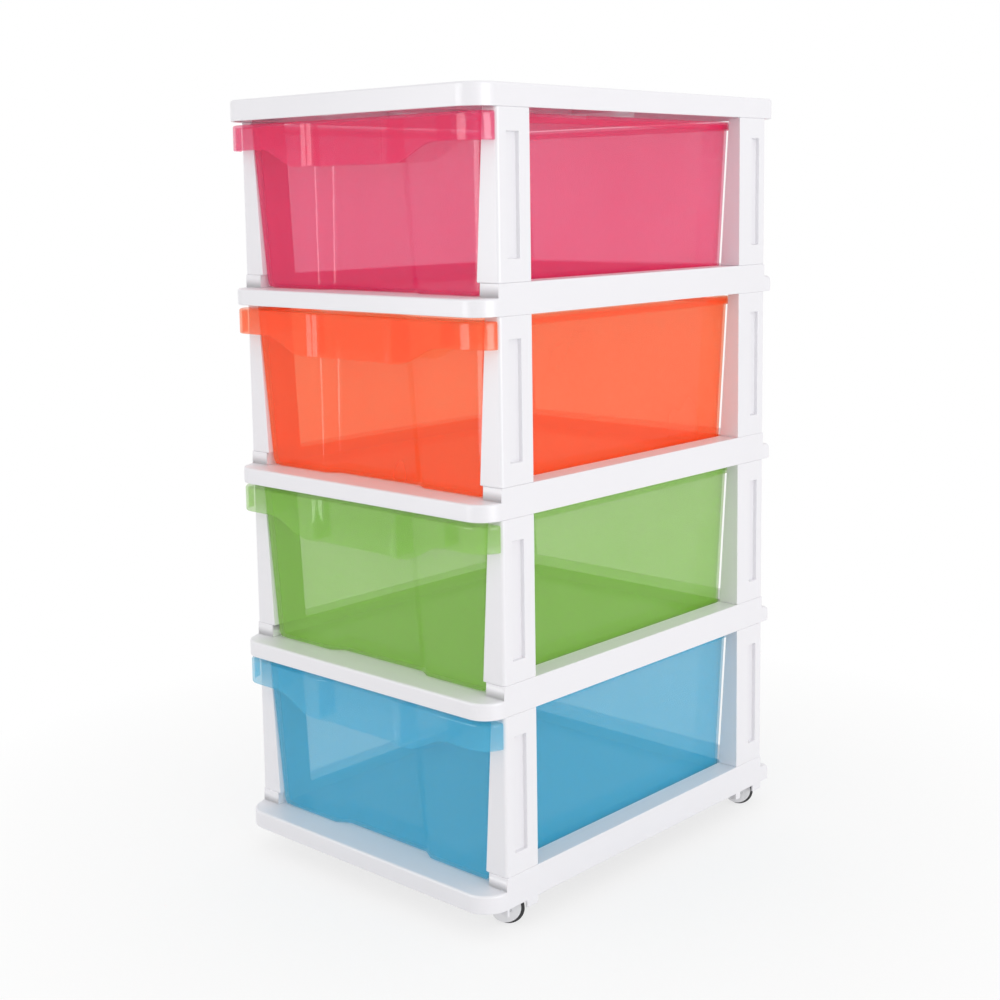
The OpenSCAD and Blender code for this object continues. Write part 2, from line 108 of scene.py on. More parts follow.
class Channel:
    """A socket that carries a number, on which Python's operators add Math nodes."""

    def __init__(self, graph: "Graph", socket: bpy.types.NodeSocket) -> None:
        """Keeps the graph and the output socket that the number comes from."""
        self.graph = graph
        self.socket = socket

    def _math(
        self, operation: Maths, first: "Channel | float", second: "Channel | float"
    ) -> "Channel":
        """Adds one Math node.

        Args:
            operation: What the node does.
            first: Channel or number for the first socket.
            second: Channel or number for the second socket.

        Returns:
            The node's result.
        """
        settings = {"operation": operation.value}
        node = self.graph.add("ShaderNodeMath", settings, {0: first, 1: second})
        return Channel(self.graph, node.outputs[0])

    def __add__(self, other: "Channel | float") -> "Channel":
        """Sum."""
        return self._math(Maths.SUM, self, other)

    def __radd__(self, other: float) -> "Channel":
        """Sum with a number on the left."""
        return self._math(Maths.SUM, other, self)

    def __sub__(self, other: "Channel | float") -> "Channel":
        """Difference."""
        return self._math(Maths.DIFFERENCE, self, other)

    def __rsub__(self, other: float) -> "Channel":
        """Difference from a number on the left."""
        return self._math(Maths.DIFFERENCE, other, self)

    def __mul__(self, other: "Channel | float") -> "Channel":
        """Product."""
        return self._math(Maths.PRODUCT, self, other)

    def __rmul__(self, other: float) -> "Channel":
        """Product with a number on the left."""
        return self._math(Maths.PRODUCT, other, self)

    def __pow__(self, other: "Channel | float") -> "Channel":
        """Power."""
        return self._math(Maths.POWER, self, other)

    def __rpow__(self, other: float) -> "Channel":
        """Power of a number on the left."""
        return self._math(Maths.POWER, other, self)

    def at_most(self, other: "Channel | float") -> "Channel":
        """The lower of this and the other."""
        return self._math(Maths.LOWER, self, other)

    def at_least(self, other: "Channel | float") -> "Channel":
        """The higher of this and the other."""
        return self._math(Maths.HIGHER, self, other)


class Graph:
    """Node tree of a material or of the world, with one method that adds any node."""

    def __init__(self, owner: "bpy.types.Material | bpy.types.World", output: str) -> None:
        """Empties the owner's tree and adds its output.

        Args:
            owner: The material or world.
            output: Type of its output node.
        """
        owner.use_nodes = True
        self.owner = owner
        self.tree = owner.node_tree
        self.tree.nodes.clear()
        self.output = self.add(output)

    @classmethod
    def of_material(cls, name: str) -> "Graph":
        """Makes a material of that name and gives its graph."""
        return cls(bpy.data.materials.new(name), "ShaderNodeOutputMaterial")

    def add(
        self,
        kind: str,
        settings: dict[str, Any] | None = None,
        inputs: dict[str | int, Any] | None = None,
    ) -> bpy.types.Node:
        """Adds a node, applies its settings, then fills its sockets.

        Args:
            kind: The node's type.
            settings: Properties of the node.
            inputs: Values, channels or output sockets by the input socket's name or number.

        Returns:
            The node.
        """
        node = self.tree.nodes.new(kind)
        for key, value in (settings or {}).items():
            setattr(node, key, value)
        for key, value in (inputs or {}).items():
            socket = node.inputs[key]
            if isinstance(value, Channel):
                self.tree.links.new(value.socket, socket)
            elif isinstance(value, bpy.types.NodeSocket):
                self.tree.links.new(value, socket)
            elif isinstance(value, tuple) and socket.type == "RGBA":
                socket.default_value = (*value, 1.0)
            else:
                socket.default_value = value
        return node

    def shader(self, kind: str, inputs: dict[str | int, Any]) -> bpy.types.NodeSocket:
        """Adds a shader node with those values or links and gives its output."""
        return self.add(kind, None, inputs).outputs[0]

    def place(self) -> bpy.types.NodeSocket:
        """The point on the piece, in the frame at rest."""
        return self.add("ShaderNodeTexCoord").outputs["Object"]

    def noise(
        self,
        scale: float,
        detail: float = 2.0,
        stretch: tuple[float, float, float] = (1.0, 1.0, 1.0),
    ) -> Channel:
        """Noise between 0 and 1 over the piece.

        Args:
            scale: Number of lumps to a metre.
            detail: Octaves of finer noise.
            stretch: Factor on the scale along X, Y and Z.

        Returns:
            The noise.
        """
        spot = self.add(
            "ShaderNodeVectorMath", {"operation": "MULTIPLY"}, {0: self.place(), 1: stretch}
        ).outputs[0]
        node = self.add(
            "ShaderNodeTexNoise", None, {"Vector": spot, "Scale": scale, "Detail": detail}
        )
        return Channel(self, node.outputs["Fac"])

    def between(self, share: Channel, first: Colour, second: Colour) -> bpy.types.NodeSocket:
        """Mixes two colours.

        Args:
            share: How much of the second colour shows.
            first: The colour where the share is 0.
            second: The colour where the share is 1.

        Returns:
            The mixed colour.
        """
        node = self.add("ShaderNodeMix", {"data_type": "RGBA"}, {0: share, 6: first, 7: second})
        return node.outputs[2]

    def bump(self, height: Channel, depth: float) -> bpy.types.NodeSocket:
        """Normal of a surface raised by a height, of which 1 stands for the depth."""
        return self.add("ShaderNodeBump", None, {"Height": height, "Distance": depth}).outputs[0]

    def seen(self) -> Channel:
        """Tells the rays that show a thing from those that only carry its light.

        Returns:
            1 for rays from the camera, from gloss and through clear walls, otherwise 0.
        """
        path = self.add("ShaderNodeLightPath")
        return (
            Channel(self, path.outputs["Is Camera Ray"])
            + Channel(self, path.outputs["Is Glossy Ray"])
            + Channel(self, path.outputs["Is Transmission Ray"])
        ).at_most(1.0)

    def finish(
        self, surface: bpy.types.NodeSocket
    ) -> "bpy.types.Material | bpy.types.World":
        """Links the surface to the output and gives the material or world."""
        self.tree.links.new(surface, self.output.inputs["Surface"])
        return self.owner


# ---------------------------------------------------------------- finishes


@dataclass(frozen=True)
class MouldedPlastic:
    """Opaque moulded plastic with faint flow marks, a fine skin and light scuffs.

    Attributes:
        name: Name of the material.
        colour: Main colour.
        shade: Colour of the flow marks.
        roughness: Roughness of the clean skin.
        scuff: Roughness added where the skin is rubbed.
        grain: Lumps of the skin to a metre.
        grain_depth: Depth of the skin's lumps.
        flow: Flow marks to a metre across the tower.
        flow_stretch: Factor on their number along X, Y and Z.
        rub: Rubbed patches to a metre.
        rub_start: Noise above which the skin is rubbed.
        rub_gain: How fast rubbing sets in above that.
        rub_rise: Height of a rubbed patch against the skin's lumps.
        unevenness: Spread of the skin's roughness.
        ior: Index of refraction.
    """

    name: str
    colour: Colour
    shade: Colour
    roughness: float = 0.36
    scuff: float = 0.12
    grain: float = 900.0
    grain_depth: float = 0.02 * MM
    flow: float = 7.0
    flow_stretch: tuple[float, float, float] = (1.0, 1.0, 0.45)
    rub: float = 60.0
    rub_start: float = 0.55
    rub_gain: float = 3.0
    rub_rise: float = 0.6
    unevenness: float = 0.05
    ior: float = 1.49

    def make(self) -> bpy.types.Material:
        """Builds the material.

        Returns:
            The material.
        """
        graph = Graph.of_material(self.name)
        flow = graph.noise(self.flow, 3.0, self.flow_stretch)
        rubbed = graph.noise(self.rub, 4.0)
        skin = graph.noise(self.grain)
        scuffs = ((rubbed - self.rub_start).at_least(0.0) * self.rub_gain).at_most(1.0)
        surface = graph.shader(
            "ShaderNodeBsdfPrincipled",
            {
                "Base Color": graph.between(flow, self.colour, self.shade),
                "Roughness": self.roughness + self.scuff * scuffs + self.unevenness * (skin - 0.5),
                "Normal": graph.bump(skin + self.rub_rise * rubbed, self.grain_depth),
                "IOR": self.ior,
            },
        )
        return graph.finish(surface)


@dataclass(frozen=True)
class TintedPlastic:
    """Hazy tinted plastic of a drawer: some light goes through, some scatters, and an emission adds
    a painted glow.

    Attributes:
        name: Name of the material.
        through: Share of light that one face lets through.
        body: Colour of the light that scatters in the wall.
        painted_glow_colour: Colour of the painted glow, an emission that brightens the wall though
            it is no lamp.
        painted_glow: Strength of that painted glow.
        haze: Share of light that scatters at one face.
        mirror: Reflection of a face seen square on.
        grazing: Reflection that a face gains towards a glancing view.
        falloff: How late that gain comes.
        roughness: Roughness of the gloss.
        gloss_spread: Spread of that roughness.
        body_roughness: Roughness of the scattering.
        body_spread: Spread of that roughness.
        streak: Brightness of the flow marks' colour against the body.
        cloudiness: Spread of the haze along the flow marks.
        onward: Share of the scattered light that leaves on the far side.
        flow: Flow marks to a metre across the drawer.
        flow_stretch: Factor on their number along X, Y and Z.
        skin: Ripples of the skin to a metre.
        skin_share: Share of the ripples in the skin's height; the flow marks have the rest.
        skin_depth: Depth of the skin's ripples.
    """

    name: str
    through: Colour
    body: Colour
    painted_glow_colour: Colour
    painted_glow: float
    haze: float
    mirror: float = 0.025
    grazing: float = 0.3
    falloff: float = 5.0
    roughness: float = 0.045
    gloss_spread: float = 0.03
    body_roughness: float = 0.5
    body_spread: float = 0.1
    streak: float = 0.9
    cloudiness: float = 0.25
    onward: float = 0.5
    flow: float = 9.0
    flow_stretch: tuple[float, float, float] = (1.0, 1.0, 0.5)
    skin: float = 140.0
    skin_share: float = 0.3
    skin_depth: float = 0.03 * MM

    def make(self) -> bpy.types.Material:
        """Builds the material.

        Returns:
            The material.
        """
        graph = Graph.of_material(self.name)
        flow = graph.noise(self.flow, 3.0, self.flow_stretch)
        skin = graph.noise(self.skin, 3.0)
        facing = Channel(graph, graph.add("ShaderNodeLayerWeight").outputs["Facing"])
        height = (1.0 - self.skin_share) * flow + self.skin_share * skin
        scatter = graph.shader(
            "ShaderNodeBsdfPrincipled",
            {
                "Base Color": graph.between(flow, self.body, shaded(self.body, self.streak)),
                "Roughness": self.body_roughness + self.body_spread * skin,
                "Specular IOR Level": 0.0,
                # The emission below is a painted glow: it brightens the wall in any light, though
                # it is no lamp.
                "Emission Color": self.painted_glow_colour,
                "Emission Strength": self.painted_glow,
            },
        )
        onward = graph.shader("ShaderNodeBsdfTranslucent", {"Color": self.body})
        soft = graph.shader("ShaderNodeMixShader", {0: self.onward, 1: scatter, 2: onward})
        clear = graph.shader("ShaderNodeBsdfTransparent", {"Color": self.through})
        haze = self.haze + self.cloudiness * self.haze * (flow - 0.5)
        wall = graph.shader("ShaderNodeMixShader", {0: haze, 1: clear, 2: soft})
        shine = graph.shader(
            "ShaderNodeBsdfPrincipled",
            {
                "Base Color": WHITE,
                "Metallic": 1.0,
                "Roughness": self.roughness + self.gloss_spread * (skin - 0.5),
                "Normal": graph.bump(height, self.skin_depth),
            },
        )
        gloss = self.mirror + self.grazing * facing**self.falloff
        return graph.finish(graph.shader("ShaderNodeMixShader", {0: gloss, 1: wall, 2: shine}))


@dataclass(frozen=True)
class ZincSteel:
    """Zinc-plated pressed steel with a cloudy spangle and fine drawing lines.

    Attributes:
        name: Name of the material.
        colour: Colour of the plating.
        dull: Brightness of the clouds against the plating.
        roughness: Roughness of the bright plating.
        cloud_roughness: Roughness added in the clouds.
        cloud: Clouds to a metre.
        cloud_rise: Height of the clouds against the lines.
        line: Drawing lines to a metre.
        line_stretch: Factor on their number along X, Y and Z.
        line_depth: Depth of the lines.
    """

    name: str
    colour: Colour = (0.58, 0.59, 0.61)
    dull: float = 0.8
    roughness: float = 0.26
    cloud_roughness: float = 0.16
    cloud: float = 260.0
    cloud_rise: float = 0.5
    line: float = 900.0
    line_stretch: tuple[float, float, float] = (1.0, 0.06, 0.06)
    line_depth: float = 0.01 * MM

    def make(self) -> bpy.types.Material:
        """Builds the material.

        Returns:
            The material.
        """
        graph = Graph.of_material(self.name)
        cloud = graph.noise(self.cloud, 3.0)
        lines = graph.noise(self.line, 2.0, self.line_stretch)
        surface = graph.shader(
            "ShaderNodeBsdfPrincipled",
            {
                "Base Color": graph.between(cloud, self.colour, shaded(self.colour, self.dull)),
                "Metallic": 1.0,
                "Roughness": self.roughness + self.cloud_roughness * cloud,
                "Normal": graph.bump(lines + self.cloud_rise * cloud, self.line_depth),
            },
        )
        return graph.finish(surface)


@dataclass(frozen=True)
class StudioPaper:
    """White paper floor that shows the object's shadow near by and fades out to white.

    Attributes:
        name: Name of the material.
        colour: Colour of the paper.
        fibre: Fibres to a metre.
        fibre_shade: Brightness of the fibres against the paper.
        fibre_depth: Depth of the fibres.
        roughness: Roughness of the paper.
        roughness_spread: Roughness added on the fibres.
        sheen: Specular level of the paper.
        near: Share of plain white seen at the object.
        reach: Distance from the middle at which the paper is plain white.
    """

    name: str
    colour: Colour = (0.86, 0.86, 0.86)
    fibre: float = 350.0
    fibre_shade: float = 0.97
    fibre_depth: float = 0.05 * MM
    roughness: float = 0.85
    roughness_spread: float = 0.05
    sheen: float = 0.2
    near: float = 0.72
    reach: float = 0.62

    def make(self) -> bpy.types.Material:
        """Builds the material.

        Returns:
            The material.
        """
        graph = Graph.of_material(self.name)
        fibre = graph.noise(self.fibre, 3.0)
        paper = graph.shader(
            "ShaderNodeBsdfPrincipled",
            {
                "Base Color": graph.between(
                    fibre, self.colour, shaded(self.colour, self.fibre_shade)
                ),
                "Roughness": self.roughness + self.roughness_spread * fibre,
                "Specular IOR Level": self.sheen,
                "Normal": graph.bump(fibre, self.fibre_depth),
            },
        )
        length = graph.add("ShaderNodeVectorMath", {"operation": "LENGTH"}, {0: graph.place()})
        away = Channel(graph, length.outputs[1]) * (1.0 / self.reach)
        fade = (self.near + (1.0 - self.near) * away**2.0).at_most(1.0)
        white = graph.shader("ShaderNodeEmission", {"Color": WHITE, "Strength": 1.0})
        mixed = {0: fade * graph.seen(), 1: paper, 2: white}
        return graph.finish(graph.shader("ShaderNodeMixShader", mixed))


WHITE_FRAME = MouldedPlastic("white frame plastic", (0.84, 0.83, 0.86), (0.81, 0.80, 0.83))
WHITE_CASTOR = MouldedPlastic("white castor plastic", (0.80, 0.80, 0.82), (0.76, 0.76, 0.78), 0.4)
BLACK_WHEEL = MouldedPlastic(
    "black wheel plastic", (0.018, 0.018, 0.02), (0.026, 0.026, 0.028), 0.48, 0.2, 1400.0, 0.04 * MM
)
ZINC = ZincSteel("zinc plated steel")
# The fourth and fifth values of each tint are the colour and strength of its painted glow, an
# emission that is no lamp.
TINTS = {
    "pink": TintedPlastic(
        "pink drawer plastic", (1.0, 0.95, 1.0), (0.95, 0.045, 0.21), (1.0, 0.1, 0.25), 0.14, 0.42
    ),
    "orange": TintedPlastic(
        "orange drawer plastic", (1.0, 0.98, 0.85), (1.0, 0.13, 0.04), (1.0, 0.2, 0.05), 0.3, 0.45
    ),
    "green": TintedPlastic(
        "green drawer plastic", (1.0, 1.0, 0.97), (0.28, 0.66, 0.06), (0.7, 0.8, 0.3), 0.18, 0.36
    ),
    "blue": TintedPlastic(
        "blue drawer plastic", (0.98, 1.0, 1.0), (0.05, 0.53, 0.82), (0.3, 0.9, 0.7), 0.18, 0.37
    ),
}


# ---------------------------------------------------------------- mesh helpers

SAME_POINT = 0.001 * MM
SAME_POINT_JOINED = 0.002 * MM
FLAT_ANGLE = math.radians(0.6)
SHARP_ANGLE = math.radians(30)
SMOOTH_ANGLE = math.radians(50)
NEARLY_ONE = 0.99
NEARLY_NONE = 0.01
LEAST_RADIUS = 0.02 * MM


@dataclass(frozen=True)
class Rounding:
    """Rounding of a moulding's edges.

    Attributes:
        radius: Radius of the common edges.
        outer_radius: Radius of the edges that outer picks, or 0 for none.
        outer: Tells from an edge's middle and its two faces' normals whether it is an outer edge.
        segments: Facets across a common rounding.
        outer_segments: Facets across an outer one.
        narrow: Width of a strip that is too narrow to round, as a share of the radius.
        across: Cosine of the least angle at which a side counts as running across an edge.
    """

    radius: float = 0.7 * MM
    outer_radius: float = 0.0
    outer: Callable[[Vector, list[Vector]], bool] | None = None
    segments: int = 3
    outer_segments: int = 4
    narrow: float = 0.5
    across: float = 0.7

    def apply(self, shape: bmesh.types.BMesh) -> None:
        """Rounds the edges of a closed mesh.

        Args:
            shape: The mesh, changed in place.
        """
        bmesh.ops.remove_doubles(shape, verts=shape.verts, dist=SAME_POINT)
        bmesh.ops.dissolve_limit(
            shape, angle_limit=FLAT_ANGLE, verts=shape.verts, edges=shape.edges
        )
        if self.outer is not None:
            picked = [
                e
                for e in self._sharp(shape)
                if self.outer((e.verts[0].co + e.verts[1].co) / 2, [f.normal for f in e.link_faces])
            ]
            self._bevel(shape, picked, self.outer_radius, self.outer_segments)
        roomy = [e for e in self._sharp(shape) if self._roomy(e)]
        self._bevel(shape, roomy, self.radius, self.segments)

    def _roomy(self, edge: bmesh.types.BMEdge) -> bool:
        """Tells whether the rounding fits beside an edge.

        Args:
            edge: The edge.

        Returns:
            False for an edge along a strip that is too narrow for the rounding.
        """
        along = (edge.verts[1].co - edge.verts[0].co).normalized()
        for face in edge.link_faces:
            for side in face.edges:
                if side is not edge and any(v in edge.verts for v in side.verts):
                    width = side.verts[1].co - side.verts[0].co
                    narrow = width.length < self.radius * self.narrow
                    if narrow and abs(width.normalized().dot(along)) < self.across:
                        return False
        return True

    @staticmethod
    def _sharp(shape: bmesh.types.BMesh) -> list[bmesh.types.BMEdge]:
        """Finds the edges to round.

        Args:
            shape: The mesh.

        Returns:
            The edges whose two faces meet at more than the sharp angle.
        """
        shape.normal_update()
        between_two = [e for e in shape.edges if len(e.link_faces) == 2]
        return [e for e in between_two if e.calc_face_angle(0.0) > SHARP_ANGLE]

    @staticmethod
    def _bevel(
        shape: bmesh.types.BMesh, edges: list[bmesh.types.BMEdge], radius: float, segments: int
    ) -> None:
        """Rounds the given edges.

        Args:
            shape: The mesh.
            edges: Edges to round.
            radius: Radius of the rounding.
            segments: Facets across the rounding.
        """
        if edges:
            bmesh.ops.bevel(
                shape,
                geom=edges,
                offset=radius,
                offset_type="OFFSET",
                segments=segments,
                profile=0.5,
                affect="EDGES",
                clamp_overlap=False,
                loop_slide=True,
            )


def rounded_outline(
    corners: list[tuple[float, float, float]], inset: float, steps: int = 5
) -> list[Vector]:
    """Outline with rounded corners, moved inwards.

    Args:
        corners: X, Y and radius of each corner, anticlockwise.
        inset: How far every side moves inwards.
        steps: Facets in each corner.

    Returns:
        Points of the outline, anticlockwise.
    """
    sides = []
    for i, corner in enumerate(corners):
        start, end = Vector(corner[:2]), Vector(corners[(i + 1) % len(corners)][:2])
        along = (end - start).normalized()
        sides.append((start + inset * Vector((-along.y, along.x)), along))
    points = []
    for i, corner in enumerate(corners):
        (start, along), (other, onward) = sides[i - 1], sides[i]
        turn = math.atan2(along.cross(onward), along.dot(onward))
        meet = start + along * ((other - start).cross(onward) / along.cross(onward))
        sign = 1.0 if turn > 0 else -1.0
        radius = max(corner[2] - sign * inset, LEAST_RADIUS)
        first = meet - along * radius * math.tan(abs(turn) / 2)
        centre = first + sign * radius * Vector((-along.y, along.x))
        arm = first - centre
        for step in range(steps + 1):
            angle = turn * step / steps
            cos, sin = math.cos(angle), math.sin(angle)
            points.append(
                centre + Vector((arm.x * cos - arm.y * sin, arm.x * sin + arm.y * cos))
            )
    return points


def loft(
    shape: bmesh.types.BMesh, rings: list[list[Vector]], closed: bool = True
) -> list[list[bmesh.types.BMVert]]:
    """Joins rings of points with quads.

    Args:
        shape: The mesh that is added to.
        rings: Rings with the same number of points.
        closed: True if the last point of a ring joins its first.

    Returns:
        The rings' vertices.
    """
    made = [[shape.verts.new(p) for p in ring] for ring in rings]
    for low, high in zip(made, made[1:]):
        count = len(low)
        for i in range(count if closed else count - 1):
            j = (i + 1) % count
            shape.faces.new((low[i], low[j], high[j], high[i]))
    return made


def closed_shell(rings: list[list[Vector]], name: str) -> bpy.types.Object:
    """Makes a closed solid from rings, capped at both ends.

    Args:
        rings: Rings with the same number of points.
        name: Name of the solid.

    Returns:
        An object in the scene, for joining.
    """
    shape = bmesh.new()
    made = loft(shape, rings)
    shape.faces.new(list(reversed(made[0])))
    shape.faces.new(made[-1])
    return loose_solid(shape, name)


def loose_solid(shape: bmesh.types.BMesh, name: str) -> bpy.types.Object:
    """Turns a mesh into an object for joining, with its faces turned outwards.

    Args:
        shape: The mesh, freed here.
        name: Name of the object.

    Returns:
        An object in the scene.
    """
    bmesh.ops.recalc_face_normals(shape, faces=shape.faces)
    mesh = bpy.data.meshes.new(name)
    shape.to_mesh(mesh)
    shape.free()
    solid = bpy.data.objects.new(name, mesh)
    bpy.context.scene.collection.objects.link(solid)
    return solid


def joined(solids: list[bpy.types.Object]) -> bmesh.types.BMesh:
    """Joins closed solids into one mesh and removes them.

    Args:
        solids: The solids; the first is the body that takes the rest.

    Returns:
        The mesh of their union.
    """
    body, others = solids[0], solids[1:]
    for other in others:
        step = body.modifiers.new(other.name, "BOOLEAN")
        step.operation = "UNION"
        step.solver = "EXACT"
        step.object = other
    graph = bpy.context.evaluated_depsgraph_get()
    shape = bmesh.new()
    shape.from_object(body, graph)
    for solid in solids:
        mesh = solid.data
        bpy.data.objects.remove(solid)
        bpy.data.meshes.remove(mesh)
    return shape


def dress(
    name: str, shape: bmesh.types.BMesh, material: bpy.types.Material, body: str
) -> bpy.types.Object:
    """Turns a mesh into a shown piece.

    Args:
        name: Name of the piece.
        shape: Its mesh, freed here.
        material: Its finish.
        body: The body it moves with.

    Returns:
        The piece.
    """
    mesh = bpy.data.meshes.new(name)
    shape.to_mesh(mesh)
    shape.free()
    mesh.shade_smooth()
    mesh.set_sharp_from_angle(angle=SMOOTH_ANGLE)
    mesh.materials.append(material)
    piece = bpy.data.objects.new(name, mesh)
    bpy.context.scene.collection.objects.link(piece)
    even = piece.modifiers.new("even shading", "WEIGHTED_NORMAL")
    even.keep_sharp = True
    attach(piece, body)
    return piece


def moulding(
    node: str,
    frame: dict[str, Any],
    rounding: Rounding,
    material: bpy.types.Material,
    body: str,
) -> bpy.types.Object:
    """Makes the rounded moulding that stands for a node.

    Args:
        node: Name of the node.
        frame: The loaded frame.
        rounding: Rounding of its edges.
        material: Its finish.
        body: The body it moves with.

    Returns:
        The piece.
    """
    shape = bmesh.new()
    shape.from_mesh(frame["nodes"][node].data)
    rounding.apply(shape)
    piece = dress(f"{node}_moulding", shape, material, body)
    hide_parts(node)
    return piece


# ---------------------------------------------------------------- sub-assemblies


@dataclass
class TowerFrame:
    """The white frame: base, shelves, cap and corner posts.

    Attributes:
        tiers: Number of drawers above each other.
        edge_radius: Rounding of common edges.
        ledge_radius: Rounding of a slab's upper outer edge.
        ledge_front: Place in front of which a shelf's ledge is clear of the posts.
        ledge_rear: Place behind which it is clear of them.
        cap_level: Height above which there is only the cap's top.
        wall_reach: Least distance of an outer wall from the tower's middle.
    """

    tiers: int = 4
    edge_radius: float = 0.7 * MM
    ledge_radius: float = 2.0 * MM
    ledge_front: float = -178.0 * MM
    ledge_rear: float = 186.0 * MM
    cap_level: float = 660.0 * MM
    wall_reach: float = 100.0 * MM

    def build(self, frame: dict[str, Any]) -> list[bpy.types.Object]:
        """Builds and dresses every moulding.

        Args:
            frame: The loaded frame.

        Returns:
            The pieces.
        """
        slab = Rounding(self.edge_radius, self.ledge_radius, self._ledge)
        post = Rounding(self.edge_radius)
        nodes = [(node, slab) for node in ("top_cap", "base")]
        nodes += [(f"shelf_{tier}", slab) for tier in range(1, self.tiers)]
        for tier in range(1, self.tiers + 1):
            nodes += [(f"{corner.value}_post_{tier}", post) for corner in Corner]
        white = WHITE_FRAME.make()
        return [
            moulding(node, frame, rounding, white, "tower")
            for node, rounding in nodes
        ]

    def _ledge(self, middle: Vector, normals: list[Vector]) -> bool:
        """Tells whether an edge lies between a slab's top and its outer wall.

        Args:
            middle: The edge's middle.
            normals: Normals of its two faces.

        Returns:
            True for an edge that is rounded with the ledge's radius.
        """
        flat = [n for n in normals if n.z > NEARLY_ONE]
        wall = [n for n in normals if abs(n.z) < NEARLY_NONE]
        outside = bool(wall) and wall[0].x * middle.x + wall[0].y * middle.y > self.wall_reach
        return len(flat) == 1 and outside and self._clear(middle)

    def _clear(self, middle: Vector) -> bool:
        """True off the posts and on the cap, where a top edge is well rounded."""
        off_posts = middle.y < self.ledge_front or middle.y > self.ledge_rear
        return off_posts or middle.z > self.cap_level


@dataclass
class Castors:
    """The four swivel castors.

    Attributes:
        plate_radius: Rounding of a plate's edges.
        screw_radius: Rounding of the screws and the king pin.
        axle_radius: Rounding of an axle's ends.
        fork_radius: Rounding of a fork's edges.
        wheel_radius: Rounding of a wheel's edges.
    """

    plate_radius: float = 0.3 * MM
    screw_radius: float = 0.12 * MM
    axle_radius: float = 0.3 * MM
    fork_radius: float = 0.4 * MM
    wheel_radius: float = 0.6 * MM

    def build(self, frame: dict[str, Any]) -> list[bpy.types.Object]:
        """Builds and dresses each castor's pieces.

        Args:
            frame: The loaded frame.

        Returns:
            The pieces.
        """
        white, black, zinc = WHITE_CASTOR.make(), BLACK_WHEEL.make(), ZINC.make()
        pieces = []
        for corner in Corner:
            swivel, wheel = f"castor_{corner.value}", f"wheel_{corner.value}"
            pieces += [
                moulding(f"{part}_{corner.value}", frame, Rounding(radius), material, body)
                for part, radius, material, body, slot in (
                    ("castor_plate", self.plate_radius, zinc, "tower", "zinc_steel"),
                    ("castor_screws", self.screw_radius, zinc, "tower", "zinc_steel"),
                    ("king_pin", self.screw_radius, zinc, "tower", "zinc_steel"),
                    ("axle", self.axle_radius, zinc, swivel, "zinc_steel"),
                    ("fork", self.fork_radius, white, swivel, "white_castor"),
                    ("wheel", self.wheel_radius, black, wheel, "black_wheel"),
                )
            ]
        return pieces


class Side(Enum):
    """Sides of a drawer, with the sign of X."""

    LEFT = -1
    RIGHT = 1


# Shares of a length at which rings and points are placed.
BEND_SHARES = (0.0, 0.04, 0.13, 0.3, 0.55, 0.8, 1.0)
WALL_SHARES = (0.25, 0.5, 0.75, 1.0)
PLATE_SHARES = (0.15, 0.35, 0.6, 1.0)
LIP_SHARES = ((0.3, 0.87), (1.0, 1.0))
# Numbers of points along the flange's edge and the rim.
GRIP_STEPS = 8
BEND_STEPS = 12
STRAIGHT_STEPS = 24
RIM_STEPS = 8


